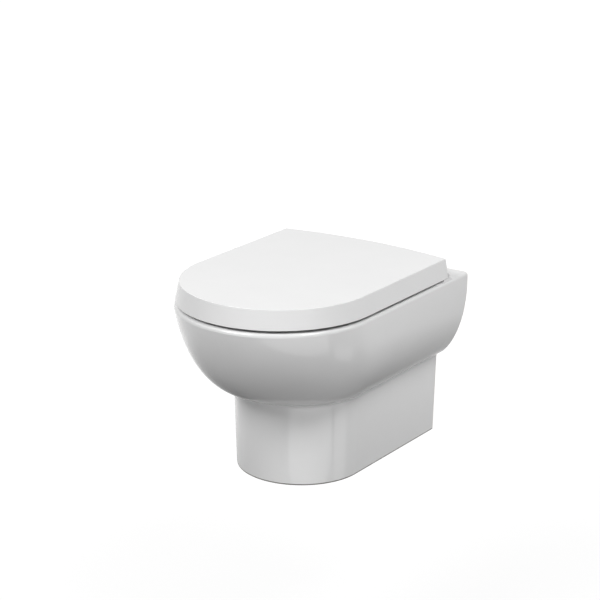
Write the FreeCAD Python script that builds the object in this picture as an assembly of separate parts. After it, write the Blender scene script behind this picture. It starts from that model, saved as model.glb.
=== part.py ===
import FreeCAD, Part
import math
import os

from FreeCAD import Vector

# Wall hung toilet: a ceramic pan, with a soft-close seat and wrap-over lid on quick-release hinges.
# Millimetres. The wall is the plane Y = 0 and the pan stands out along -Y, +Z is up, X = 0 is its middle.
# The origin is half-way between the two wall studs.

# Connections at the wall
stud_spacing = 180.0
stud_r = 6.0
stud_hole_r = 11.0
inlet_rise = 35.0
inlet_bore_r = 27.5
inlet_depth = 45.0
duct_bore_r = 20.0
outlet_drop = 100.0
outlet_spigot_r = 51.0
outlet_wall = 8.0
outlet_setback = 5.0
outlet_length = 45.0

# Pan, outside
pan_width = 360.0
pan_projection = 503.0
rim_height = 85.0
pan_height = 315.5
rim_edge_r = 7.0
neck_drop = 162.0
neck_fillet = 13.0
neck_step = 7.0
neck_step_front = 10.5
neck_width = 238.0
neck_reach = 376.5
foot_width = 229.0
foot_reach = 373.0
foot_edge_r = 3.0
belly_drop = 115.0
belly_out = 1.5
belly_back = 25.0
underside_run = 33.0
underside_spread = 7.5

# Pan, inside
skirt_wall = 10.0
deck_thick = 14.0
rear_plate = 16.0
rear_plate_drop = 38.0
bowl_wall = 9.0
opening_width = 260.0
rim_front = 48.0
bowl_rear = 160.0
bowl_edge_r = 8.0
bowl_upright = 65.0
bowl_knee_width = 170.0
bowl_neck_gap = 5.4
bowl_knee_rear = 185.0
bowl_knee_drop = 145.0
sump_width = 84.0
sump_front = 290.0
sump_rear = 205.0
sump_drop = 275.0
trap_bore_r = 27.0
trap_wall = 8.0
trap_lead = 5.0
trap_bend_r = 39.0
trap_rise_angle = 75.0
trap_rise_run = 49.0
trap_fall_angle = 50.0

# Raised edge round the hinges, behind the shadow gap
shadow_gap = 5.2
curb_gap = 0.5
curb_front = 78.0
curb_inner = 150.0
curb_cove = 4.5
lip_gap = 0.6
lip_top = 3.0
lip_rise = 13.7
lip_clear = 0.6

# Lid
lid_height = 33.5
lid_inset = 2.0
lid_draft = 7.3
lid_wall = 4.0
lid_rear_corner = 62.5
lid_bow = 18.5
lid_rear_lip = 8.0
lid_edge_r = 1.2

# Seat ring
seat_rise = 5.5
seat_thick = 22.0
seat_inset = 17.0
seat_hole_width = 222.0
seat_hole_front = 62.0
seat_hole_rear = 178.0
seat_rear = 76.0
seat_skin = 7.0
seat_edge_r = 7.0
seat_hole_edge_r = 6.0
seat_notch_front = 120.0
seat_notch_gap = 2.0

# Hinges
hinge_spacing = 155.0
hinge_hole_y = -96.0
hinge_hole_r = 7.5
axis_y = -65.5
axis_depth = 12.0
seat_swing = 94.0
lid_swing = 94.0
pin_r = 4.0
pin_running_gap = 0.05
pin_end_gap = 1.0
knuckle_r = 7.5
knuckle_gap = 0.5
post_width = 22.0
seat_knuckle_width = 20.0
lid_knuckle_width = 20.0
post_front = 11.0
post_back = 8.4
post_front_drop = 11.5
arm_under = 0.8
damper_r = 6.0
bush_r = 5.2
gasket_thick = 1.0
base_thick = 2.5
base_r = 19.0
pillar_r = 5.0
pillar_height = 15.5
pillar_gap = 0.1
groove_r = 3.6
groove_rise = 7.0
groove_height = 3.2
bolt_r = 3.0
plug_gap = 0.2
plug_bulge_r = 10.0
plug_length = 27.0
plug_nut_r = 6.5
plug_nut_height = 9.0

# Release button in the front of each hinge post
button_width = 13.0
button_height = 10.0
button_head = 4.4
button_out = 3.5
button_travel = 3.0
button_gap = 0.3
latch_thick = 2.6
latch_bite = 1.0
latch_tail = 4.0
spring_r = 1.6
spring_wall = 0.4
spring_offset = 4.6
spring_length = 4.8
spring_gap = 0.2

# Rubber buffers
seat_buffer_length = 40.0
seat_buffer_width = 14.0
seat_buffer_corner_r = 6.3
seat_buffer_inset = 15.0
seat_buffer_back = 190.0
seat_buffer_turn = 45.0
lid_buffer_r = 8.0
lid_buffer_tip_r = 5.6
lid_buffer_inset = 25.0
lid_buffer_back = 200.0
lid_buffer_turn = 45.0
rest_gap = 0.3

# Wall fixings inside the hollow of the pan
sleeve_gap = 0.2
sleeve_bore_r = 6.5
sleeve_flange_r = 15.0
sleeve_flange = 3.0
washer_r = 14.0
washer_thick = 2.5
nut_flats = 19.0
nut_height = 10.0

# Places worked out from the sizes above
half = pan_width / 2
front = -pan_projection
floor_z = rim_height - pan_height
lid_low = rim_height + shadow_gap
lid_top = lid_low + lid_height
axis_z = lid_top - axis_depth
seat_low = rim_height + seat_rise
seat_top = seat_low + seat_thick
seat_half = half - seat_inset
front_centre = front + half
# The bowl's front curve, seven tenths of the way down, passes the neck with a gap, which sets its knee
neck_at = 0.7
bowl_knee_front = (
    neck_reach - skirt_wall - bowl_neck_gap - bowl_wall
    - (1 - neck_at) ** 2 * (1 + 2 * neck_at) * (pan_projection - rim_front) - neck_at**3 * sump_front
) / (3 * neck_at**2 * (1 - neck_at))
lid_half_low = half - lid_inset
lid_half_top = lid_half_low - lid_draft
bow_r = (lid_half_top ** 2 + lid_bow ** 2) / (2 * lid_bow)
bow_centre = -lid_rear_corner + lid_bow - bow_r
hinge_x = hinge_spacing / 2
base_top = rim_height + gasket_thick + base_thick
post_in = hinge_x - post_width / 2
post_out = hinge_x + post_width / 2
post_face = hinge_hole_y - post_front
seat_knuckle_out = post_in - knuckle_gap
seat_knuckle_in = seat_knuckle_out - seat_knuckle_width
lid_knuckle_in = post_out + knuckle_gap
lid_knuckle_out = lid_knuckle_in + lid_knuckle_width
pin_in = seat_knuckle_in + pin_end_gap
pin_out = lid_knuckle_out - pin_end_gap
latch_z = base_top + groove_rise + groove_height / 2
past = 10.0
near = 0.1
SIDES = (-1, 1)
ACROSS = Vector(1, 0, 0)
OUT = Vector(0, -1, 0)
UP = Vector(0, 0, 1)
MIDDLE = Vector(0, 0, 0)


def box(x0, x1, y0, y1, z0, z1):
    return Part.makeBox(x1 - x0, y1 - y0, z1 - z0, Vector(x0, y0, z0))


def rod(radius, length, start, way):
    return Part.makeCylinder(radius, length, start, way)


def tube(outer, inner, length, start, way):
    return rod(outer, length, start, way).cut(rod(inner, length, start, way))


def mirrored(shape):
    return shape.mirror(MIDDLE, ACROSS)


def both(shape):
    return shape.fuse(mirrored(shape))


def joined(shapes):
    return shapes[0].multiFuse(shapes[1:]).removeSplitter()


def patch(rows):
    """One smooth face through rows of (point, weight) control points."""
    across = len(rows[0]) - 1
    along = len(rows) - 1
    poles = [[p for p, w in row] for row in rows]
    weights = [[w for p, w in row] for row in rows]
    face = Part.BSplineSurface()
    face.buildFromPolesMultsKnots(
        poles, [along + 1] * 2, [across + 1] * 2, [0, 1], [0, 1], False, False, along, across, weights
    )
    return face


def quarter(side, width, start, end, z):
    """Control points of a quarter ellipse from the side of the pan round to its middle."""
    corner = math.sqrt(0.5)
    return [
        (Vector(side * width, start, z), 1.0),
        (Vector(side * width, end, z), corner),
        (Vector(0, end, z), 1.0),
    ]


def closed_solid(faces):
    shell = Part.makeShell(faces)
    shell.sewShape()
    solid = Part.makeSolid(shell.Shells[0] if shell.ShapeType != "Shell" else shell)
    if solid.Volume < 0:
        solid.reverse()
    return solid


def cap(curves, lines=()):
    edges = [c.toShape() for c in curves] + list(lines)
    return Part.Face(Part.Wire(Part.__sortEdges__(edges)))


def d_body(stretches, back):
    """Solid with D-shaped level sections. A stretch is a few rows of (half width, front, height)."""
    patches = []
    first = []
    last = []
    ends = []
    for rows in stretches:
        for side in SIDES:
            nose = patch([quarter(side, w, f + w, f, z) for w, f, z in rows])
            flank = patch(
                [[(Vector(side * w, back, z), 1.0), (Vector(side * w, f + w, z), 1.0)] for w, f, z in rows]
            )
            patches += [nose, flank]
            ends.append(flank.vIso(0))
            if rows is stretches[0]:
                first += [nose.uIso(0), flank.uIso(0)]
            if rows is stretches[-1]:
                last += [nose.uIso(1), flank.uIso(1)]
    lines = []
    for w, f, z in (stretches[0][0], stretches[-1][-1]):
        lines.append(Part.makeLine(Vector(-w, back, z), Vector(w, back, z)))
    faces = [p.toShape() for p in patches]
    faces += [cap(first, lines[:1]), cap(last, lines[1:]), cap(ends, lines)]
    return closed_solid(faces)


def egg_body(stretches):
    """Solid with egg-shaped level sections. Rows are (half width, front, middle, rear, height)."""
    patches = []
    first = []
    last = []
    for rows in stretches:
        for side in SIDES:
            nose = patch([quarter(side, w, m, f, z) for w, f, m, r, z in rows])
            heel = patch([quarter(side, w, m, r, z) for w, f, m, r, z in rows])
            patches += [nose, heel]
            if rows is stretches[0]:
                first += [nose.uIso(0), heel.uIso(0)]
            if rows is stretches[-1]:
                last += [nose.uIso(1), heel.uIso(1)]
    faces = [p.toShape() for p in patches] + [cap(first), cap(last)]
    return closed_solid(faces)


def d_wire(width, back, z):
    """Level outline with straight sides and a round front about the pan's front centre."""
    right = Vector(width, front_centre, z)
    left = Vector(-width, front_centre, z)
    nose = Part.Arc(right, Vector(0, front_centre - width, z), left).toShape()
    corners = [left, Vector(-width, back, z), Vector(width, back, z), right]
    lines = [Part.makeLine(a, b) for a, b in zip(corners, corners[1:])]
    return Part.Wire([nose] + lines)


def d_taper(width_low, z_low, width_high, z_high, back):
    return Part.makeLoft([d_wire(width_low, back, z_low), d_wire(width_high, back, z_high)], True, True)


def sheet_yz(points, x0, x1):
    """Solid of constant section across the pan, from points (y, z) joined by straight lines."""
    wire = Part.makePolygon([Vector(x0, y, z) for y, z in points + points[:1]])
    return Part.Face(wire).extrude(Vector(x1 - x0, 0, 0))


def skin_rows(inset, low_z):
    """Rows of the pan's outer form, moved in by a wall thickness."""
    neck_z = rim_height - neck_drop
    neck_half = neck_width / 2
    foot_half = foot_width / 2
    side = half - inset
    nose = front + inset
    start_z = rim_height - (deck_thick if inset else rim_edge_r)
    under_z = neck_z + inset
    neck_side = neck_half - inset
    neck_nose = -neck_reach + inset
    bowl = [
        (side, nose, start_z),
        (side + belly_out, nose + belly_back, rim_height - belly_drop),
        (neck_side + neck_step + underside_spread, neck_nose - neck_step_front - underside_run, under_z),
        (neck_side + neck_step, neck_nose - neck_step_front, under_z),
    ]
    neck_end = (neck_side, neck_nose, neck_z - neck_fillet)
    neck = [bowl[-1], (neck_side, neck_nose, under_z), neck_end]
    foot = (foot_half - inset, -foot_reach + inset, low_z)
    return bowl, neck, [neck_end, foot]


def pan_outside():
    bowl, neck, leg = skin_rows(0.0, floor_z + foot_edge_r)
    w, f, z = bowl[0]
    edge = [(w - rim_edge_r, f + rim_edge_r, rim_height), (w, f, rim_height), bowl[0]]
    w, f, z = leg[-1]
    toe = [leg[-1], (w, f, floor_z), (w - foot_edge_r, f + foot_edge_r, floor_z)]
    return d_body([edge, bowl, neck, leg, toe], 0.0)


def pan_hollow():
    """Space inside the skirt, open at the back and underneath."""
    return d_body(skin_rows(skirt_wall, floor_z - past), past)


def bowl_body(wall):
    """The bowl's inside, or its outside when given the bowl's wall."""
    width = opening_width / 2 + wall
    nose = front + rim_front - wall
    heel = -bowl_rear + wall
    upright = rim_height - bowl_upright
    sump_z = rim_height - sump_drop - wall
    knee_z = rim_height - bowl_knee_drop
    knee_mid = -(bowl_knee_front + bowl_knee_rear) / 2
    sump_mid = -(sump_front + sump_rear) / 2
    top = (width, nose, front_centre, heel, rim_height - (deck_thick / 2 if wall else bowl_edge_r))
    knee = (bowl_knee_width / 2 + wall, -bowl_knee_front - wall, knee_mid, -bowl_knee_rear + wall, knee_z)
    sump = (sump_width / 2 + wall, -sump_front - wall, sump_mid, -sump_rear + wall, sump_z)
    side = [top, (width, nose, front_centre, heel, upright), knee, sump]
    if wall:
        return egg_body([side])
    r = bowl_edge_r
    edge = [
        (width + r, nose - r, front_centre, heel + r, rim_height + near),
        (width, nose, front_centre, heel, rim_height + near),
        top,
    ]
    return egg_body([edge, side])


def trap_run(radius):
    """Pipe of the water trap: back from the sump, up, over the weir and down into the outlet."""
    up = math.radians(trap_rise_angle)
    down = math.radians(trap_fall_angle)
    r = trap_bend_r

    def under(centre, angle):
        return centre + Vector(0, math.sin(angle), -math.cos(angle)) * r

    def over(centre, angle):
        return centre + Vector(0, -math.sin(angle), math.cos(angle)) * r

    start = Vector(0, -(sump_front + sump_rear) / 2, rim_height - sump_drop + trap_bore_r)
    bend = Vector(0, -sump_rear + trap_lead, start.z)
    rise = bend + UP * r
    rise_end = under(rise, up)
    run_end = rise_end + Vector(0, math.cos(up), math.sin(up)) * trap_rise_run
    crest = run_end + Vector(0, math.sin(up), -math.cos(up)) * r
    fall_start = over(crest, -down)
    fall = (fall_start.z + outlet_drop - r * (1 - math.cos(down))) / math.sin(down)
    fall_end = fall_start + Vector(0, math.cos(down), -math.sin(down)) * fall
    level = fall_end + Vector(0, math.sin(down), math.cos(down)) * r
    finish = Vector(0, -outlet_setback, -outlet_drop)
    path = Part.Wire(
        [
            Part.makeLine(start, bend),
            Part.Arc(bend, under(rise, up / 2), rise_end).toShape(),
            Part.makeLine(rise_end, run_end),
            Part.Arc(run_end, over(crest, 0), fall_start).toShape(),
            Part.makeLine(fall_start, fall_end),
            Part.Arc(fall_end, under(level, -down / 2), under(level, 0)).toShape(),
            Part.makeLine(under(level, 0), finish),
        ]
    )
    ring = Part.Wire(Part.makeCircle(radius, start, OUT))
    return path.makePipeShell([ring], True, False)


def outlet_rod(radius, length, beyond):
    start = Vector(0, -outlet_setback + beyond, -outlet_drop)
    return rod(radius, length + beyond, start, OUT)


def inlet_rods(wall, reach):
    """Flush socket at the wall and the narrower duct that leads on to the bowl."""
    start = Vector(0, 0, inlet_rise)
    socket = rod(inlet_bore_r + wall, inlet_depth + wall, start, OUT)
    return socket.fuse(rod(duct_bore_r + wall, reach, start, OUT))


def curbs():
    """Low raised edges at both sides, which end the shadow gap under the lid."""
    top = lid_low - curb_gap
    low = rim_height - rim_edge_r
    rear = -lid_rear_corner
    block = box(curb_inner, lid_half_low, -curb_front - curb_cove, rear, low, top)
    cove = rod(curb_cove, lid_half_low, Vector(0, -curb_front - curb_cove, rim_height + curb_cove), ACROSS)
    above = box(0, lid_half_low, -curb_front - 2 * curb_cove, -curb_front, rim_height + curb_cove, lid_top)
    return both(block.cut(cove).cut(above))


def rear_lip():
    """Upstand that follows the bowed back of the lid and runs out to the deck in a hollow curve."""
    inner = bow_r + lip_gap
    outer = inner + lip_top
    low = rim_height - rim_edge_r
    crest = rim_height + lip_rise
    run_out = outer + lip_rise
    bend = lip_rise * (1 - math.sqrt(0.5))
    corners = [
        Vector(run_out, 0, rim_height),
        Vector(run_out, 0, low),
        Vector(inner, 0, low),
        Vector(inner, 0, crest),
        Vector(outer, 0, crest),
    ]
    edges = [Part.makeLine(a, b) for a, b in zip(corners, corners[1:])]
    hollow = Part.Arc(corners[-1], Vector(outer + bend, 0, rim_height + bend), corners[0]).toShape()
    face = Part.Face(Part.Wire(edges + [hollow]))
    face.translate(Vector(0, bow_centre, 0))
    half_turn = 2 * math.degrees(math.asin(lid_half_low / bow_r))
    centre = Vector(0, bow_centre, 0)
    face.rotate(centre, UP, 90 - half_turn)
    ring = face.revolve(centre, UP, 2 * half_turn)
    lip = ring.common(box(-lid_half_low, lid_half_low, -pan_projection, 0, low, lid_top))
    tilt = seat_swing + lid_swing - 180
    hinge = Vector(0, axis_y, axis_z)
    swept = box(-half, half, axis_y, 0, axis_z - axis_depth - lip_clear, lid_top)
    swept.rotate(hinge, ACROSS, -tilt)
    return lip.cut(swept)


def make_bowl():
    """Inside of the casting, from the rim's underside to the sump, with the flush and waste ways."""
    under = box(-half, half, front, 0, floor_z, rim_height - deck_thick)
    bowl = bowl_body(bowl_wall).common(under).cut(bowl_body(0.0))
    return bowl.cut(trap_run(trap_bore_r)).cut(inlet_rods(0.0, bowl_rear + past))


def make_trapway():
    """Water trap and outlet spigot, from the outside of the bowl to the wall."""
    spigot = outlet_rod(outlet_spigot_r, outlet_length, 0)
    way = joined([trap_run(trap_bore_r + trap_wall), spigot]).cut(bowl_body(bowl_wall))
    way = way.cut(trap_run(trap_bore_r))
    return way.cut(outlet_rod(outlet_spigot_r - outlet_wall, outlet_length - outlet_wall, past))


def make_flush_socket():
    """Round socket at the wall that takes the flush pipe."""
    return tube(inlet_bore_r + bowl_wall, inlet_bore_r, inlet_depth, Vector(0, 0, inlet_rise), OUT)


def make_flush_duct():
    """Duct from the end of the flush socket to the outside of the bowl."""
    way = inlet_rods(bowl_wall, bowl_rear).cut(inlet_rods(0.0, bowl_rear + past)).cut(bowl_body(bowl_wall))
    return way.cut(make_flush_socket())


def deck_room(over):
    """Space inside the skirt's wall at the height of the deck."""
    side = half - skirt_wall
    nose = front + skirt_wall
    return d_body([[(side, nose, rim_height - deck_thick), (side, nose, rim_height + over)]], past)


def make_pan():
    """Outer wall of the casting, from the rim's edge down to the foot."""
    return pan_outside().cut(pan_hollow()).cut(deck_room(past))


def make_deck(wall):
    """Level top of the casting round the bowl's mouth, with the raised edges behind the lid."""
    deck = joined([deck_room(0.0).common(pan_outside()), curbs(), rear_lip()]).cut(wall)
    deck = deck.cut(bowl_body(0.0)).cut(inlet_rods(bowl_wall, bowl_rear))
    for side in SIDES:
        hole = Vector(side * hinge_x, hinge_hole_y, rim_height - deck_thick - past)
        deck = deck.cut(rod(hinge_hole_r, deck_thick + 2 * past, hole, UP))
    return deck


def make_rear_plate(wall):
    """Back of the casting, flat against the wall, with the stud holes and round the flush socket."""
    low = rim_height - deck_thick
    plate = pan_outside().common(box(-half, half, -rear_plate, 0, -rear_plate_drop, low)).cut(wall)
    plate = plate.cut(inlet_rods(bowl_wall, bowl_rear))
    for side in SIDES:
        plate = plate.cut(rod(stud_hole_r, rear_plate + past, Vector(side * stud_spacing / 2, 0, 0), OUT))
    return plate


def axis_rod(radius, x0, x1):
    return rod(radius, x1 - x0, Vector(x0, axis_y, axis_z), ACROSS)


def make_lid():
    outer = d_taper(lid_half_low, lid_low, lid_half_top, lid_top, 0.0)
    outer = outer.common(rod(bow_r, lid_height, Vector(0, bow_centre, lid_low), UP))
    outer = outer.makeFillet(lid_edge_r, edges_above(outer, lid_top))
    roof = lid_top - lid_wall
    slope = lid_draft / lid_height
    inside_top = lid_half_top - lid_wall + slope * lid_wall
    inside = d_taper(lid_half_low - lid_wall, lid_low, inside_top, roof, 0.0)
    lip_low = lid_top - lid_rear_lip
    lip = box(-half, half, front_centre, 0, lip_low, lid_top)
    lip = lip.cut(rod(bow_r - lid_wall, lid_height, Vector(0, bow_centre, lid_low), UP))
    shell = outer.cut(inside.cut(lip))
    knuckle = axis_rod(knuckle_r, lid_knuckle_in, lid_knuckle_out)
    web = box(lid_knuckle_in, lid_knuckle_out, axis_y - knuckle_r, axis_y + knuckle_r, axis_z, roof)
    lid = joined([shell, both(knuckle.fuse(web))])
    right = axis_rod(damper_r, lid_knuckle_in, lid_knuckle_out)
    left = mirrored(axis_rod(bush_r, lid_knuckle_in, lid_knuckle_out))
    return lid.cut(right).cut(left)


def edges_above(shape, z):
    return [e for e in shape.Edges if e.BoundBox.ZMin > z - near]


def seat_outline(width, z0, z1, back):
    return Part.Face(d_wire(width, back, z0)).extrude(Vector(0, 0, z1 - z0))


def seat_hole_body(grow, z0, z1):
    """The hole in the seat: a round front and an elliptical back."""
    w = seat_hole_width / 2 + grow
    nose = front + seat_hole_front - grow
    row = (w, nose, nose + w, -seat_hole_rear + grow)
    return egg_body([[row + (z0,), row + (z1,)]])


def round_seat(inset, back, turn):
    """Places (x, y, turn) as far in from the seat's edge: one on its side and one round its front."""
    r = seat_half - inset
    a = math.radians(turn)
    return [(r, -back, 0.0), (r * math.cos(a), front_centre - r * math.sin(a), turn)]


def make_seat_ring():
    ring = seat_outline(seat_half, seat_low, seat_top, -seat_rear)
    top_edges = [e for e in edges_above(ring, seat_top) if e.BoundBox.YMin < -seat_rear - near]
    ring = ring.makeFillet(seat_edge_r, top_edges)
    ring = ring.cut(seat_hole_body(0.0, seat_low - past, seat_top + past))
    reach = seat_hole_width / 2 + near
    hole_edges = [
        e
        for e in edges_above(ring, seat_top)
        if max(-e.BoundBox.XMin, e.BoundBox.XMax) < reach and e.BoundBox.YMax < -seat_hole_rear + near
    ]
    ring = ring.makeFillet(seat_hole_edge_r, hole_edges)
    channel = seat_outline(seat_half - seat_skin, seat_low, seat_top - seat_skin, -seat_hole_rear)
    channel = channel.cut(seat_hole_body(seat_skin, seat_low, seat_top))
    for x, y, turn in round_seat(seat_buffer_inset, seat_buffer_back, seat_buffer_turn):
        pad = seat_buffer_length / 2 + seat_skin
        boss = box(x - pad, x + pad, y - pad, y + pad, seat_low, seat_top)
        channel = channel.cut(both(boss))
    ring = ring.cut(channel)
    notch_out = post_out + seat_notch_gap
    notch = box(seat_knuckle_out, notch_out, -seat_notch_front, 0, seat_low - past, lid_top)
    ring = ring.cut(both(notch))
    knuckle = axis_rod(knuckle_r, seat_knuckle_in, seat_knuckle_out)
    arm = box(seat_knuckle_in, seat_knuckle_out, -seat_rear - knuckle_r, axis_y, axis_z - knuckle_r, seat_top)
    ring = joined([ring, both(knuckle.fuse(arm))])
    right = axis_rod(bush_r, seat_knuckle_in, seat_knuckle_out)
    left = mirrored(axis_rod(damper_r, seat_knuckle_in, seat_knuckle_out))
    return ring.cut(right).cut(left)


def knuckle_sleeve(outer, x0, x1):
    return tube(outer, pin_r + pin_running_gap, x1 - x0, Vector(x0, axis_y, axis_z), ACROSS)


def make_post():
    """Goose-neck hinge post: it stands on the pillar and reaches back over to the hinge pin."""
    y0 = post_face
    y1 = hinge_hole_y + post_back
    crown = axis_z + knuckle_r
    outline = [
        (y0, base_top),
        (y1, base_top),
        (y1, axis_z - arm_under),
        (axis_y, axis_z - arm_under),
        (axis_y, crown),
        (y1 - button_travel, crown),
        (y0, crown - post_front_drop),
    ]
    post = sheet_yz(outline, post_in, post_out).fuse(axis_rod(knuckle_r, post_in, post_out))
    post = post.cut(axis_rod(pin_r, post_in, post_out))
    bore = rod(pillar_r + pillar_gap, pillar_height + pillar_gap, Vector(hinge_x, hinge_hole_y, base_top), UP)
    post = post.cut(bore)
    head = box(
        hinge_x - button_width / 2 - button_gap,
        hinge_x + button_width / 2 + button_gap,
        y0 - past,
        y0 + button_head - button_out + button_travel + button_gap,
        latch_z - button_height / 2 - button_gap,
        latch_z + button_height / 2 + button_gap,
    )
    slot = box(
        hinge_x - button_width / 2 - button_gap,
        hinge_x + button_width / 2 + button_gap,
        y0 - past,
        y1 + past,
        latch_z - latch_thick / 2 - button_gap,
        latch_z + latch_thick / 2 + button_gap,
    )
    post = post.cut(head).cut(slot)
    for start in spring_starts():
        post = post.cut(rod(spring_r + spring_gap, spring_length, start, OUT * -1))
    return post.removeSplitter()


def spring_starts():
    """Points on the back of the button's head where its two return springs begin."""
    y = post_face - button_out + button_head
    z = latch_z + latch_thick / 2 + spring_r + spring_gap
    return [Vector(hinge_x + side * spring_offset, y, z) for side in SIDES]


def make_springs():
    return Part.makeCompound(
        [tube(spring_r, spring_r - spring_wall, spring_length, start, OUT * -1) for start in spring_starts()]
    )


def make_pillar_bolt():
    pillar = rod(pillar_r, pillar_height, Vector(hinge_x, hinge_hole_y, base_top), UP)
    groove_low = Vector(hinge_x, hinge_hole_y, base_top + groove_rise)
    groove = tube(pillar_r, groove_r, groove_height, groove_low, UP)
    length = base_thick + gasket_thick + plug_length + plug_nut_height
    bolt = rod(bolt_r, length, Vector(hinge_x, hinge_hole_y, base_top), UP * -1)
    return pillar.cut(groove).fuse(bolt).removeSplitter()


def make_base():
    low = Vector(hinge_x, hinge_hole_y, base_top - base_thick)
    return tube(base_r, bolt_r, base_thick, low, UP)


def make_gasket():
    return tube(base_r, bolt_r, gasket_thick, Vector(hinge_x, hinge_hole_y, rim_height), UP)


def make_plug():
    """Rubber plug, squeezed until it bulges under the deck."""
    neck = hinge_hole_r - plug_gap
    top = rim_height
    under = rim_height - deck_thick - plug_gap
    low = rim_height - plug_length
    bulge = under - (plug_bulge_r - neck)
    profile = [
        (bolt_r, top),
        (neck, top),
        (neck, under),
        (plug_bulge_r, bulge),
        (neck, low),
        (bolt_r, low),
    ]
    wire = Part.makePolygon([Vector(hinge_x + r, hinge_hole_y, z) for r, z in profile + profile[:1]])
    return Part.Face(wire).revolve(Vector(hinge_x, hinge_hole_y, 0), UP, 360)


def make_plug_nut():
    low = Vector(hinge_x, hinge_hole_y, rim_height - plug_length - plug_nut_height)
    return tube(plug_nut_r, bolt_r, plug_nut_height, low, UP)


def make_button():
    """Push button with a latch plate whose slot bites the pillar's groove until it is pressed."""
    y0 = post_face - button_out
    head = box(
        hinge_x - button_width / 2,
        hinge_x + button_width / 2,
        y0,
        y0 + button_head,
        latch_z - button_height / 2,
        latch_z + button_height / 2,
    )
    bite = hinge_hole_y + pillar_r - latch_bite
    tail = bite + latch_tail
    plate = box(
        hinge_x - button_width / 2,
        hinge_x + button_width / 2,
        y0,
        tail,
        latch_z - latch_thick / 2,
        latch_z + latch_thick / 2,
    )
    r = pillar_r + button_gap
    low = latch_z - latch_thick
    slot = rod(r, 2 * latch_thick, Vector(hinge_x, bite - r, low), UP)
    front_y = hinge_hole_y - button_travel
    slot = slot.fuse(rod(r, 2 * latch_thick, Vector(hinge_x, front_y, low), UP))
    slot = slot.fuse(box(hinge_x - r, hinge_x + r, front_y, bite - r, low, low + 2 * latch_thick))
    return head.fuse(plate.cut(slot)).removeSplitter()


def make_seat_buffers():
    pads = []
    w = seat_buffer_width / 2
    l = seat_buffer_length / 2
    for x, y, turn in round_seat(seat_buffer_inset, seat_buffer_back, seat_buffer_turn):
        pad = box(x - w, x + w, y - l, y + l, rim_height + rest_gap, seat_low)
        upright = [e for e in pad.Edges if e.BoundBox.ZLength > near]
        pad = pad.makeFillet(seat_buffer_corner_r, upright)
        pad.rotate(Vector(x, y, 0), UP, -turn)
        pads += [pad, mirrored(pad)]
    return Part.makeCompound(pads)


def make_lid_buffers():
    low = seat_top + rest_gap
    roof = lid_top - lid_wall
    pads = []
    for x, y, turn in round_seat(lid_buffer_inset, lid_buffer_back, lid_buffer_turn):
        pad = Part.makeCone(lid_buffer_tip_r, lid_buffer_r, roof - low, Vector(x, y, low), UP)
        pads += [pad, mirrored(pad)]
    return Part.makeCompound(pads)


def make_stud_sleeve():
    x = stud_spacing / 2
    body = rod(stud_hole_r - sleeve_gap, rear_plate, Vector(x, 0, 0), OUT)
    body = body.fuse(rod(sleeve_flange_r, sleeve_flange, Vector(x, -rear_plate, 0), OUT))
    return body.cut(rod(sleeve_bore_r, rear_plate + sleeve_flange, Vector(x, 0, 0), OUT))


def make_stud_washer():
    start = Vector(stud_spacing / 2, -rear_plate - sleeve_flange, 0)
    return tube(washer_r, sleeve_bore_r, washer_thick, start, OUT)


def make_stud_nut():
    y = -rear_plate - sleeve_flange - washer_thick
    x = stud_spacing / 2
    corner = nut_flats / math.sqrt(3)
    points = []
    for i in range(7):
        angle = math.radians(60 * i)
        points.append(Vector(x + corner * math.sin(angle), y, corner * math.cos(angle)))
    nut = Part.Face(Part.makePolygon(points)).extrude(OUT * nut_height)
    return nut.cut(rod(stud_r, nut_height, Vector(x, y, 0), OUT))


def pair(shape):
    return Part.makeCompound([shape, mirrored(shape)])


def save(name, shape):
    bad = [s for s in shape.Solids if not s.isValid()]
    print(f"{name}: {len(shape.Solids)} solids, {shape.Volume / 1000:.1f} cm3" + (" INVALID" if bad else ""))
    shape.exportStep(f"parts/{name}.step")


os.makedirs("parts", exist_ok=True)
pan = make_pan()
save("pan", pan)
save("deck", make_deck(pan))
save("rear_plate", make_rear_plate(pan))
save("bowl", make_bowl().cut(pan))
save("trapway", make_trapway())
save("flush_socket", make_flush_socket())
save("flush_duct", make_flush_duct())
save("seat_ring", make_seat_ring())
save("lid", make_lid())
save("seat_buffers", make_seat_buffers())
save("lid_buffers", make_lid_buffers())
for name, shape in (
    ("hinge_post", make_post()),
    ("release_button", make_button()),
    ("release_springs", make_springs()),
):
    save(name + "_right", shape)
    save(name + "_left", mirrored(shape))
pin = axis_rod(pin_r, pin_in, pin_out)
save("hinge_pin_right", pin)
save("hinge_pin_left", mirrored(pin))
save("lid_damper", knuckle_sleeve(damper_r, lid_knuckle_in, lid_knuckle_out))
save("lid_bush", mirrored(knuckle_sleeve(bush_r, lid_knuckle_in, lid_knuckle_out)))
save("seat_bush", knuckle_sleeve(bush_r, seat_knuckle_in, seat_knuckle_out))
save("seat_damper", mirrored(knuckle_sleeve(damper_r, seat_knuckle_in, seat_knuckle_out)))
save("hinge_bases", pair(make_base()))
save("hinge_gaskets", pair(make_gasket()))
save("pillar_bolts", pair(make_pillar_bolt()))
save("expanding_plugs", pair(make_plug()))
save("plug_nuts", pair(make_plug_nut()))
save("stud_sleeves", pair(make_stud_sleeve()))
save("stud_washers", pair(make_stud_washer()))
save("stud_nuts", pair(make_stud_nut()))
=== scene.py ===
import math

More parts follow.
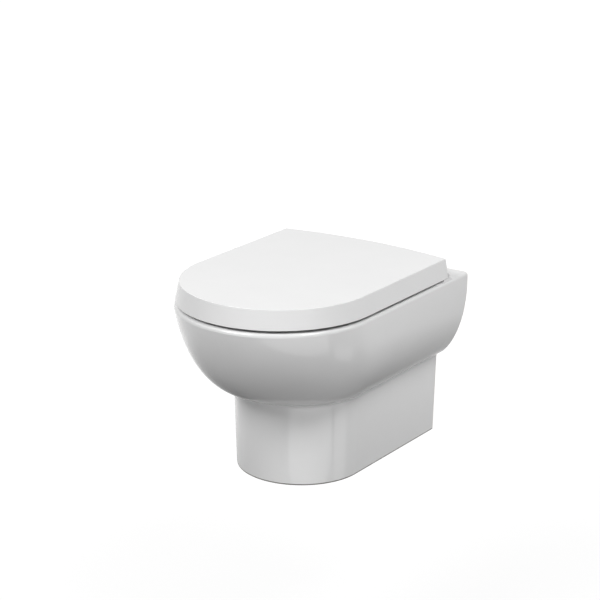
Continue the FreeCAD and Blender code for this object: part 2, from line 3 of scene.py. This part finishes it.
import bmesh
import bpy
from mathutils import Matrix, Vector


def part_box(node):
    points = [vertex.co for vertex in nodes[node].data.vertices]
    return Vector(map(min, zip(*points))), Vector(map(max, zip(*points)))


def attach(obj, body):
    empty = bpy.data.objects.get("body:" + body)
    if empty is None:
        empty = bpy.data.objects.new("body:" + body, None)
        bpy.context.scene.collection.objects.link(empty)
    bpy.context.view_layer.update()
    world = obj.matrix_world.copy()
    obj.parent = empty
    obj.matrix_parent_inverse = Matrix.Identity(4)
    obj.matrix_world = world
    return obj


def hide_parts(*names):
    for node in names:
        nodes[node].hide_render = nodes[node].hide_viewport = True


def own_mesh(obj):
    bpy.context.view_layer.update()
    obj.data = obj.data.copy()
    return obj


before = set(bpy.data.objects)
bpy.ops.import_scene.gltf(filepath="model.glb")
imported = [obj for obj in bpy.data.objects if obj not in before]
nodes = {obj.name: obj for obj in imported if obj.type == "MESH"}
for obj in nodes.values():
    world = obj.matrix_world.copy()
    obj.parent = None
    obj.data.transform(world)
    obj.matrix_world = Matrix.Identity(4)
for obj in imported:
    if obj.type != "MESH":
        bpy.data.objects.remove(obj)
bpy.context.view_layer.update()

# Pan: one hollow casting of vitreous china with the rim, bowl, trap and pedestal skirt in it.
# It is slip cast, sprayed with white glaze and fired. The back, ground flat for the wall,
# and the edge of the foot, wiped before firing, stay bare.


def linear(hex_colour):
    """Linear RGBA of an sRGB hex colour."""
    channels = [int(hex_colour[i:i + 2], 16) / 255 for i in (1, 3, 5)]
    return [c / 12.92 if c <= 0.04045 else ((c + 0.055) / 1.055) ** 2.4 for c in channels] + [1.0]


def add(tree, kind, settings=None, links=None):
    """A new node with its settings, by socket or property, and its links, by socket."""
    node = tree.nodes.new(kind)
    for name, value in (settings or {}).items():
        if isinstance(name, int) or name in node.inputs:
            node.inputs[name].default_value = value
        else:
            setattr(node, name, value)
    for name, source in (links or {}).items():
        tree.links.new(source, node.inputs[name])
    return node


def new_finish(name, **sockets):
    """A material with these sockets set on its shader.

    Gives the material, its node tree, the shader and the socket of the object coordinates.
    """
    made = bpy.data.materials.new(name)
    made.use_nodes = True
    tree = made.node_tree
    shader = tree.nodes["Principled BSDF"]
    for socket, value in sockets.items():
        shader.inputs[socket.replace("_", " ")].default_value = value
    place = add(tree, "ShaderNodeTexCoord").outputs["Object"]
    return made, tree, shader, place


def wear(finish, *names):
    """Gives the finish to the CAD nodes of these names."""
    for name in names:
        nodes[name].data.materials.clear()
        nodes[name].data.materials.append(finish)


# A Mix node's colour sockets share their names with its number sockets, so they go by their place.
COLOUR_A = 6
COLOUR_B = 7
COLOUR_OUT = 2

GLAZE_POOL = 0.07  # m, the width of the faint pools in the glaze
GLAZE_RIPPLE = 0.03  # m, the width of the ripples left where the glaze ran
BARE_EDGE = 0.0006  # m, how far the glaze stops short of the back, and over how much it thins out
FOOT_BARE_AND_SHADE = 0.0034  # m, how far up the rounded edge of the foot it is bare and painted with a dark shade line
BARE_ROUGHNESS = 0.8

# Fired glaze is clear glass over a white body: bright, with soft, slightly wavy reflections.
# The bare back is chalky. The foot's rounded edge is bare too, and a thin dark grey line is painted on it as
# shade.
glaze, tree, shader, place = new_finish(
    "glazed_vitreous_china", IOR=1.52, Coat_Weight=0.35, Coat_Roughness=0.03, Coat_IOR=1.5
)
pools = add(tree, "ShaderNodeTexNoise", {"Scale": 1 / GLAZE_POOL, "Detail": 2.0}, {"Vector": place})
ripples = add(tree, "ShaderNodeTexNoise", {"Scale": 1 / GLAZE_RIPPLE, "Detail": 1.0}, {"Vector": place})
whites = add(
    tree,
    "ShaderNodeMix",
    {"data_type": "RGBA", COLOUR_A: linear("#F1F1F1"), COLOUR_B: linear("#F5F5F5")},
    {"Factor": pools.outputs["Fac"]},
)
axes = add(tree, "ShaderNodeSeparateXYZ", None, {"Vector": place})
back = add(
    tree,
    "ShaderNodeMapRange",
    {"From Min": -2 * BARE_EDGE, "From Max": -BARE_EDGE},
    {"Value": axes.outputs["Y"]},
)
foot_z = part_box("pan")[0].z
foot_bare_and_shade = add(
    tree,
    "ShaderNodeMapRange",
    {"From Min": foot_z + FOOT_BARE_AND_SHADE, "From Max": foot_z + FOOT_BARE_AND_SHADE - BARE_EDGE},
    {"Value": axes.outputs["Z"]},
)
bare_and_shaded = add(
    tree,
    "ShaderNodeMath",
    {"operation": "MAXIMUM"},
    {0: back.outputs["Result"], 1: foot_bare_and_shade.outputs["Result"]},
)
# Painted shade: the foot's band turns dark grey, for the shade along the foot's lower edge.
bare_tone_and_shade = add(
    tree,
    "ShaderNodeMix",
    {"data_type": "RGBA", COLOUR_A: linear("#E4E0D8"), COLOUR_B: linear("#8F8D88")},
    {"Factor": foot_bare_and_shade.outputs["Result"]},
)
body = add(
    tree,
    "ShaderNodeMix",
    {"data_type": "RGBA"},
    {
        "Factor": bare_and_shaded.outputs["Value"],
        COLOUR_A: whites.outputs[COLOUR_OUT],
        COLOUR_B: bare_tone_and_shade.outputs[COLOUR_OUT],
    },
)
gloss = add(tree, "ShaderNodeMapRange", {"To Min": 0.07, "To Max": 0.13}, {"Value": pools.outputs["Fac"]})
rough = add(
    tree,
    "ShaderNodeMix",
    {"data_type": "FLOAT", "B": BARE_ROUGHNESS},
    {"Factor": bare_and_shaded.outputs["Value"], "A": gloss.outputs["Result"]},
)
wave = add(
    tree,
    "ShaderNodeBump",
    {"Strength": 0.12, "Distance": 0.0002},
    {"Height": ripples.outputs["Fac"]},
)
tree.links.new(body.outputs[COLOUR_OUT], shader.inputs["Base Color"])
tree.links.new(rough.outputs["Result"], shader.inputs["Roughness"])
tree.links.new(wave.outputs["Normal"], shader.inputs["Normal"])
wear(glaze, "pan", "deck", "rear_plate", "bowl", "trapway", "flush_socket", "flush_duct")

# Wall fixings: in each stud hole a nylon sleeve with a flange, then a steel washer and a hexagon nut.
# They are tightened from inside the skirt, and the sleeve keeps the steel off the ceramic.
NYLON_MOTTLE = 0.006  # m, the cloudy patches in undyed nylon

# Moulded nylon is milky and satin, and light goes a little way into it.
nylon, tree, shader, place = new_finish(
    "moulded_nylon",
    Roughness=0.42,
    IOR=1.53,
    Subsurface_Weight=0.1,
    Subsurface_Radius=(0.002, 0.002, 0.002),
)
clouds = add(tree, "ShaderNodeTexNoise", {"Scale": 1 / NYLON_MOTTLE, "Detail": 3.0}, {"Vector": place})
tint = add(
    tree,
    "ShaderNodeMix",
    {"data_type": "RGBA", COLOUR_A: linear("#DEDBD2"), COLOUR_B: linear("#ECE9E1")},
    {"Factor": clouds.outputs["Fac"]},
)
tree.links.new(tint.outputs[COLOUR_OUT], shader.inputs["Base Color"])
wear(nylon, "stud_sleeves")

ZINC_GRAIN = 0.0012  # m, the spangle of the plating, drawn coarser than real so that it shows

# Zinc plate on steel is silvery grey, with soft reflections that its grain breaks up.
zinc, tree, shader, place = new_finish("zinc_plated_steel", Metallic=1.0)
grain = add(tree, "ShaderNodeTexNoise", {"Scale": 1 / ZINC_GRAIN, "Detail": 4.0}, {"Vector": place})
shade = add(
    tree,
    "ShaderNodeMix",
    {"data_type": "RGBA", COLOUR_A: linear("#A9AAAB"), COLOUR_B: linear("#C8C9C8")},
    {"Factor": grain.outputs["Fac"]},
)
sheen = add(tree, "ShaderNodeMapRange", {"To Min": 0.24, "To Max": 0.42}, {"Value": grain.outputs["Fac"]})
tree.links.new(shade.outputs[COLOUR_OUT], shader.inputs["Base Color"])
tree.links.new(sheen.outputs["Result"], shader.inputs["Roughness"])
wear(zinc, "stud_washers", "stud_nuts")

# Hinge feet: a black rubber gasket and a chromed base on the deck, clamped by the bolt under the pillar.
# The bolt draws a brass nut up into a rubber plug, which swells under the ceramic and holds the foot.
RUBBER_BLOOM = 0.004  # m, the dull patches of bloom on rubber
RUBBER_PORES = 0.0008  # m, the fine moulded skin, drawn a little coarse
RUBBER_TONES = {"black_rubber": ("#121212", "#1E1E1D"), "grey_rubber": ("#8C8C8A", "#999997")}

# Moulded rubber is dull, with a fine skin and paler patches where bloom has come to the surface.
rubbers = {}
for name, (dark, pale) in RUBBER_TONES.items():
    rubbers[name], tree, shader, place = new_finish(name, Roughness=0.68, IOR=1.52)
    bloom = add(tree, "ShaderNodeTexNoise", {"Scale": 1 / RUBBER_BLOOM, "Detail": 3.0}, {"Vector": place})
    pores = add(tree, "ShaderNodeTexNoise", {"Scale": 1 / RUBBER_PORES, "Detail": 1.0}, {"Vector": place})
    tone = add(
        tree,
        "ShaderNodeMix",
        {"data_type": "RGBA", COLOUR_A: linear(dark), COLOUR_B: linear(pale)},
        {"Factor": bloom.outputs["Fac"]},
    )
    skin = add(
        tree,
        "ShaderNodeBump",
        {"Strength": 0.25, "Distance": 0.0002},
        {"Height": pores.outputs["Fac"]},
    )
    tree.links.new(tone.outputs[COLOUR_OUT], shader.inputs["Base Color"])
    tree.links.new(skin.outputs["Normal"], shader.inputs["Normal"])
wear(rubbers["black_rubber"], "hinge_gaskets", "expanding_plugs")

LATHE_MARK = 0.0012  # m, from one feed mark of the lathe to the next, drawn coarser than real
WAVE_BAND = math.pi / 10  # m, from one band of the wave texture to the next at a scale of 1

# Turned brass is a warm yellow, with fine rings where the tool has passed.
brass, tree, shader, place = new_finish("turned_brass", Metallic=1.0)
marks = add(
    tree,
    "ShaderNodeTexWave",
    {"bands_direction": "Z", "Scale": WAVE_BAND / LATHE_MARK, "Distortion": 0.4, "Detail": 1.0},
    {"Vector": place},
)
gold = add(
    tree,
    "ShaderNodeMix",
    {"data_type": "RGBA", COLOUR_A: linear("#B08A45"), COLOUR_B: linear("#CDA963")},
    {"Factor": marks.outputs["Fac"]},
)
polish = add(tree, "ShaderNodeMapRange", {"To Min": 0.2, "To Max": 0.34}, {"Value": marks.outputs["Fac"]})
tree.links.new(gold.outputs[COLOUR_OUT], shader.inputs["Base Color"])
tree.links.new(polish.outputs["Result"], shader.inputs["Roughness"])
wear(brass, "plug_nuts")
wear(zinc, "pillar_bolts")

CAST_WAVE = 0.009  # m, the waviness left by polishing

# Chrome plate on a polished casting is mirror bright, and its reflections waver faintly.
chrome, tree, shader, place = new_finish("chrome_plated_casting", Metallic=1.0)
waves = add(tree, "ShaderNodeTexNoise", {"Scale": 1 / CAST_WAVE, "Detail": 1.0}, {"Vector": place})
mirror = add(
    tree,
    "ShaderNodeMix",
    {"data_type": "RGBA", COLOUR_A: linear("#CFD1D4"), COLOUR_B: linear("#DADBDD")},
    {"Factor": waves.outputs["Fac"]},
)
haze = add(tree, "ShaderNodeMapRange", {"To Min": 0.05, "To Max": 0.11}, {"Value": waves.outputs["Fac"]})
ripple = add(tree, "ShaderNodeBump", {"Strength": 0.1, "Distance": 0.0001}, {"Height": waves.outputs["Fac"]})
tree.links.new(mirror.outputs[COLOUR_OUT], shader.inputs["Base Color"])
tree.links.new(haze.outputs["Result"], shader.inputs["Roughness"])
tree.links.new(ripple.outputs["Normal"], shader.inputs["Normal"])
wear(chrome, "hinge_bases")

# Hinge posts: zinc die castings, polished and chrome plated, that drop over the pillars.
# Each holds a plated steel pin on the hinge line, for one knuckle of the seat and one of the lid.
wear(chrome, "hinge_post_right", "hinge_post_left")
wear(zinc, "hinge_pin_right", "hinge_pin_left")

# Release buttons: grey ABS mouldings with a latch plate, pushed in to free the seat from its pillars.
# They slide in the posts.
ABS_TEXTURE = 0.0007  # m, the spark-eroded grain, drawn coarser than real

# ABS from a spark-eroded tool is satin, with a fine even grain.
abs_grey, tree, shader, place = new_finish("satin_grey_abs", Roughness=0.46, IOR=1.54)
spark = add(tree, "ShaderNodeTexNoise", {"Scale": 1 / ABS_TEXTURE, "Detail": 2.0}, {"Vector": place})
grey = add(
    tree,
    "ShaderNodeMix",
    {"data_type": "RGBA", COLOUR_A: linear("#66686A"), COLOUR_B: linear("#727476")},
    {"Factor": spark.outputs["Fac"]},
)
pits = add(tree, "ShaderNodeBump", {"Strength": 0.2, "Distance": 0.0001}, {"Height": spark.outputs["Fac"]})
tree.links.new(grey.outputs[COLOUR_OUT], shader.inputs["Base Color"])
tree.links.new(pits.outputs["Normal"], shader.inputs["Normal"])
wear(abs_grey, "release_button_right", "release_button_left")

# Return springs: two small compression coils of plated steel wire behind each button, seated in the post.
WIRE_R = 0.0002  # m, the radius of the wire
WIRE_SIDES = 8
COIL_R = 0.0014  # m, from the coil's axis to the middle of the wire
COIL_TURNS = 5
TURN_STEPS = 16


def coil(mesh, x, y0, y1, z):
    """A closed coil of wire along Y, added to the mesh."""
    ring = bmesh.ops.create_circle(mesh, segments=WIRE_SIDES, radius=WIRE_R)["verts"]
    bmesh.ops.translate(mesh, verts=ring, vec=(x + COIL_R, y0 + WIRE_R, z))
    start = list({e for v in ring for e in v.link_edges})
    steps = COIL_TURNS * TURN_STEPS
    rise = (y1 - y0 - 2 * WIRE_R) / steps
    turned = bmesh.ops.spin(
        mesh,
        geom=start,
        cent=(x, y0 + WIRE_R, z),
        axis=(0, 1, 0),
        dvec=(0, rise, 0),
        angle=COIL_TURNS * 2 * math.pi,
        steps=steps,
        use_duplicate=False,
        use_merge=False,
    )
    end = [e for e in turned["geom_last"] if isinstance(e, bmesh.types.BMEdge)]
    for loop in (start, end):
        bmesh.ops.contextual_create(mesh, geom=loop)


for side in ("right", "left"):
    low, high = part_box("release_springs_" + side)
    middle_z = (low.z + high.z) / 2
    inset = COIL_R + WIRE_R
    mesh = bmesh.new()
    for x in (low.x + inset, high.x - inset):
        coil(mesh, x, low.y, high.y, middle_z)
    bmesh.ops.recalc_face_normals(mesh, faces=mesh.faces)
    springs = bpy.data.objects.new("return_springs_" + side, bpy.data.meshes.new("return_springs_" + side))
    mesh.to_mesh(springs.data)
    mesh.free()
    springs.data.materials.append(zinc)
    springs.data.polygons.foreach_set("use_smooth", [True] * len(springs.data.polygons))
    bpy.context.scene.collection.objects.link(springs)
    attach(springs, "pan_body")
    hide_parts("release_springs_" + side)
    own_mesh(springs)

# Dampers: black acetal cartridges pressed into one seat knuckle and one lid knuckle, filled with thick oil.
# They brake the fall of the seat and the lid. Plain nylon bushes turn on the pins in the other two knuckles.
ACETAL_FLOW = 0.003  # m, the faint flow lines of the moulding

# Moulded acetal is a deep black with a waxy, slightly uneven shine.
acetal, tree, shader, place = new_finish("black_acetal", IOR=1.48)
flow = add(tree, "ShaderNodeTexNoise", {"Scale": 1 / ACETAL_FLOW, "Detail": 2.0}, {"Vector": place})
black = add(
    tree,
    "ShaderNodeMix",
    {"data_type": "RGBA", COLOUR_A: linear("#18181A"), COLOUR_B: linear("#232325")},
    {"Factor": flow.outputs["Fac"]},
)
satin = add(tree, "ShaderNodeMapRange", {"To Min": 0.34, "To Max": 0.44}, {"Value": flow.outputs["Fac"]})
tree.links.new(black.outputs[COLOUR_OUT], shader.inputs["Base Color"])
tree.links.new(satin.outputs["Result"], shader.inputs["Roughness"])
wear(acetal, "lid_damper", "seat_damper")
wear(nylon, "lid_bush", "seat_bush")

# Seat ring and lid: white urea thermoset, pressed in hot polished tools, hard and scratch resistant.
# The lid's flat top ends in a crisp edge, and its sides wrap down over the ring.
# Both turn on the hinge pins.
PEEL = 0.0022  # m, the slight orange peel of the polished tool
PRESS_CLOUD = 0.09  # m, the faint clouds in the pressed white

# Pressed thermoset is a dense, even white with a soft shine, duller than the glaze.
thermoset, tree, shader, place = new_finish("pressed_white_thermoset", IOR=1.55)
cloud = add(tree, "ShaderNodeTexNoise", {"Scale": 1 / PRESS_CLOUD, "Detail": 2.0}, {"Vector": place})
peel = add(tree, "ShaderNodeTexNoise", {"Scale": 1 / PEEL, "Detail": 1.0}, {"Vector": place})
white = add(
    tree,
    "ShaderNodeMix",
    {"data_type": "RGBA", COLOUR_A: linear("#F3F3F3"), COLOUR_B: linear("#F6F6F6")},
    {"Factor": cloud.outputs["Fac"]},
)
lustre = add(tree, "ShaderNodeMapRange", {"To Min": 0.2, "To Max": 0.27}, {"Value": cloud.outputs["Fac"]})
dimple = add(
    tree,
    "ShaderNodeBump",
    {"Strength": 0.04, "Distance": 0.00005},
    {"Height": peel.outputs["Fac"]},
)
tree.links.new(white.outputs[COLOUR_OUT], shader.inputs["Base Color"])
tree.links.new(lustre.outputs["Result"], shader.inputs["Roughness"])
tree.links.new(dimple.outputs["Normal"], shader.inputs["Normal"])
wear(thermoset, "seat_ring", "lid")

# Buffers: soft grey rubber pads pushed into the underside of the ring and of the lid.
# They rest on the rim and on the ring, and leave the dark gap under the lid.
wear(rubbers["grey_rubber"], "seat_buffers", "lid_buffers")

# Studio: a pale floor well below the pan, which hangs from its wall, soft lamps and an even white room.
# The floor and the room show white, and the floor still takes the pan's shadow.
FLOOR_DROP = 0.4  # m, from the foot down to the floor
FLOOR_HALF = 9.0  # m, half of the floor's side
floor_mesh = bmesh.new()
bmesh.ops.create_grid(floor_mesh, x_segments=1, y_segments=1, size=FLOOR_HALF)
bmesh.ops.translate(floor_mesh, verts=floor_mesh.verts, vec=(0, 0, foot_z - FLOOR_DROP))
floor = bpy.data.objects.new("studio_floor", bpy.data.meshes.new("studio_floor"))
floor_mesh.to_mesh(floor.data)
floor_mesh.free()
bpy.context.scene.collection.objects.link(floor)


def rays(tree):
    """Sockets that are 1 for the rays of the eye, and for those of gloss and glass."""
    path = add(tree, "ShaderNodeLightPath")
    mirrored = add(
        tree,
        "ShaderNodeMath",
        {"operation": "MAXIMUM"},
        {0: path.outputs["Is Glossy Ray"], 1: path.outputs["Is Transmission Ray"]},
    )
    return path.outputs["Is Camera Ray"], mirrored.outputs["Value"]


SHADOW_NEAR = 0.5  # m from the origin, where the floor's own glow is least and the shadow shows most
SHADOW_FAR = 4.0  # m from the origin, where the glow is full
SHADOW_GLOW = 0.84  # the least glow
PAINTED_SHADOW_FULL = 0.8  # m from the origin, within which the painted shadow in the glaze is darkest
PAINTED_SHADOW_GONE = 1.4  # m from the origin, beyond which the floor looks pale in the glaze, with no painted shadow

# Matt grey paint that glows white to the eye. In the glaze it is pale too, with a painted shadow just below
# the pan.
paint, tree, shader, place = new_finish(
    "matt_floor_paint",
    Roughness=0.9,
    Base_Color=linear("#6E6E6E"),
    Emission_Color=linear("#FFFFFF"),
)
eye, mirrored = rays(tree)
away = add(tree, "ShaderNodeVectorMath", {"operation": "LENGTH"}, {0: place})
shown = add(
    tree,
    "ShaderNodeMapRange",
    {"From Min": SHADOW_NEAR, "From Max": SHADOW_FAR, "To Min": SHADOW_GLOW, "To Max": 1.0},
    {"Value": away.outputs["Value"]},
)
# Painted shadow: the floor's glow in the glaze is low near the pan and rises away from it.
glaze_painted_shadow = add(
    tree,
    "ShaderNodeMapRange",
    {"From Min": PAINTED_SHADOW_FULL, "From Max": PAINTED_SHADOW_GONE, "To Min": 0.05, "To Max": 0.95},
    {"Value": away.outputs["Value"]},
)
in_glaze = add(
    tree,
    "ShaderNodeMath",
    {"operation": "MULTIPLY"},
    {0: mirrored, 1: glaze_painted_shadow.outputs["Result"]},
)
glow = add(
    tree,
    "ShaderNodeMath",
    {"operation": "MULTIPLY_ADD"},
    {0: eye, 1: shown.outputs["Result"], 2: in_glaze.outputs["Value"]},
)
tree.links.new(glow.outputs["Value"], shader.inputs["Emission Strength"])
floor.data.materials.append(paint)

ROOM_LIGHT = 0.09  # strength of the room as a light on the pan
ROOM_SEEN = 1.0  # strength of the room where it shows, which is white
world = bpy.data.worlds.new("white_room")
bpy.context.scene.world = world
world.use_nodes = True
tree = world.node_tree
tree.nodes.clear()
eye, mirrored = rays(tree)
either = add(tree, "ShaderNodeMath", {"operation": "MAXIMUM"}, {0: eye, 1: mirrored})
room_light = add(tree, "ShaderNodeBackground", {"Color": linear("#FFFFFF"), "Strength": ROOM_LIGHT})
room_seen = add(tree, "ShaderNodeBackground", {"Color": linear("#FFFFFF"), "Strength": ROOM_SEEN})
room = add(
    tree,
    "ShaderNodeMixShader",
    None,
    {0: either.outputs["Value"], 1: room_light.outputs["Background"], 2: room_seen.outputs["Background"]},
)
add(tree, "ShaderNodeOutputWorld", None, {"Surface": room.outputs["Shader"]})

PAN_MIDDLE = Vector((0, -0.25, 0))  # m, what the lamps point at


def lamp(name, spot, width, height, watts):
    """A soft lamp at the spot, turned to the pan and hidden from the camera. Lengths are in metres."""
    light = bpy.data.lights.new(name, "AREA")
    light.shape = "ELLIPSE"
    light.size = width
    light.size_y = height
    light.energy = watts
    made = bpy.data.objects.new(name, light)
    made.location = spot
    made.rotation_euler = (PAN_MIDDLE - Vector(spot)).to_track_quat("-Z", "Y").to_euler()
    made.visible_camera = False
    bpy.context.scene.collection.objects.link(made)
    return made


lamp("front_box", (-0.85, -2.7, 2.45), 1.7, 1.7, 68)
lamp("right_box", (2.1, -0.9, 2.95), 1.5, 1.5, 51)

# The fill lamps light the left side, the back and the pedestal, and don't show in the gloss.
left_box = lamp("left_box", (-3.0, 0.7, 0.3), 1.6, 1.6, 20)
back_box = lamp("back_box", (1.0, 2.9, 2.0), 2.6, 2.6, 40)
rear_box = lamp("rear_box", (-0.4, 3.2, 0.2), 1.8, 1.8, 28)
low_box = lamp("low_box", (3.05, -1.85, -0.2), 2.4, 0.5, 26)
for box in (left_box, back_box, rear_box, low_box):
    box.visible_glossy = False

# The straight-edged cards show in the gloss alone, as the upright bands on the pedestal.
front_card = lamp("front_card", (0.64, -0.82, -0.47), 1.15, 0.31, 0.98)
side_card = lamp("side_card", (0.86, -0.086, -0.53), 0.36, 0.17, 0.125)
for card in (front_card, side_card):
    card.data.shape = "RECTANGLE"
    card.visible_diffuse = False

# Camera: a long lens, to the right of the pan's front and a little above it.
# Its place comes from a fit to the outlines in the photograph.
CAMERA_TURN = math.radians(34.9)  # to the right, from straight in front
CAMERA_RISE = math.radians(18.0)  # above level
CAMERA_FAR = 3.356  # m, from what it aims at
CAMERA_AIM = Vector((0, -0.2633, 0.0694))  # m
LENS_PIXELS = 1945  # the focal length in pixels of the photograph
IMAGE_PIXELS = 600  # the photograph's width
SENSOR = 36  # mm
lens = bpy.data.cameras.new("camera")
lens.sensor_width = SENSOR
lens.lens = SENSOR * LENS_PIXELS / IMAGE_PIXELS
camera = bpy.data.objects.new("camera", lens)
out = Vector((
    math.sin(CAMERA_TURN) * math.cos(CAMERA_RISE),
    -math.cos(CAMERA_TURN) * math.cos(CAMERA_RISE),
    math.sin(CAMERA_RISE),
))
camera.location = CAMERA_AIM + CAMERA_FAR * out
camera.rotation_euler = (-out).to_track_quat("-Z", "Y").to_euler()
bpy.context.scene.collection.objects.link(camera)
bpy.context.scene.camera = camera
bpy.context.scene.view_settings.view_transform = "Standard"
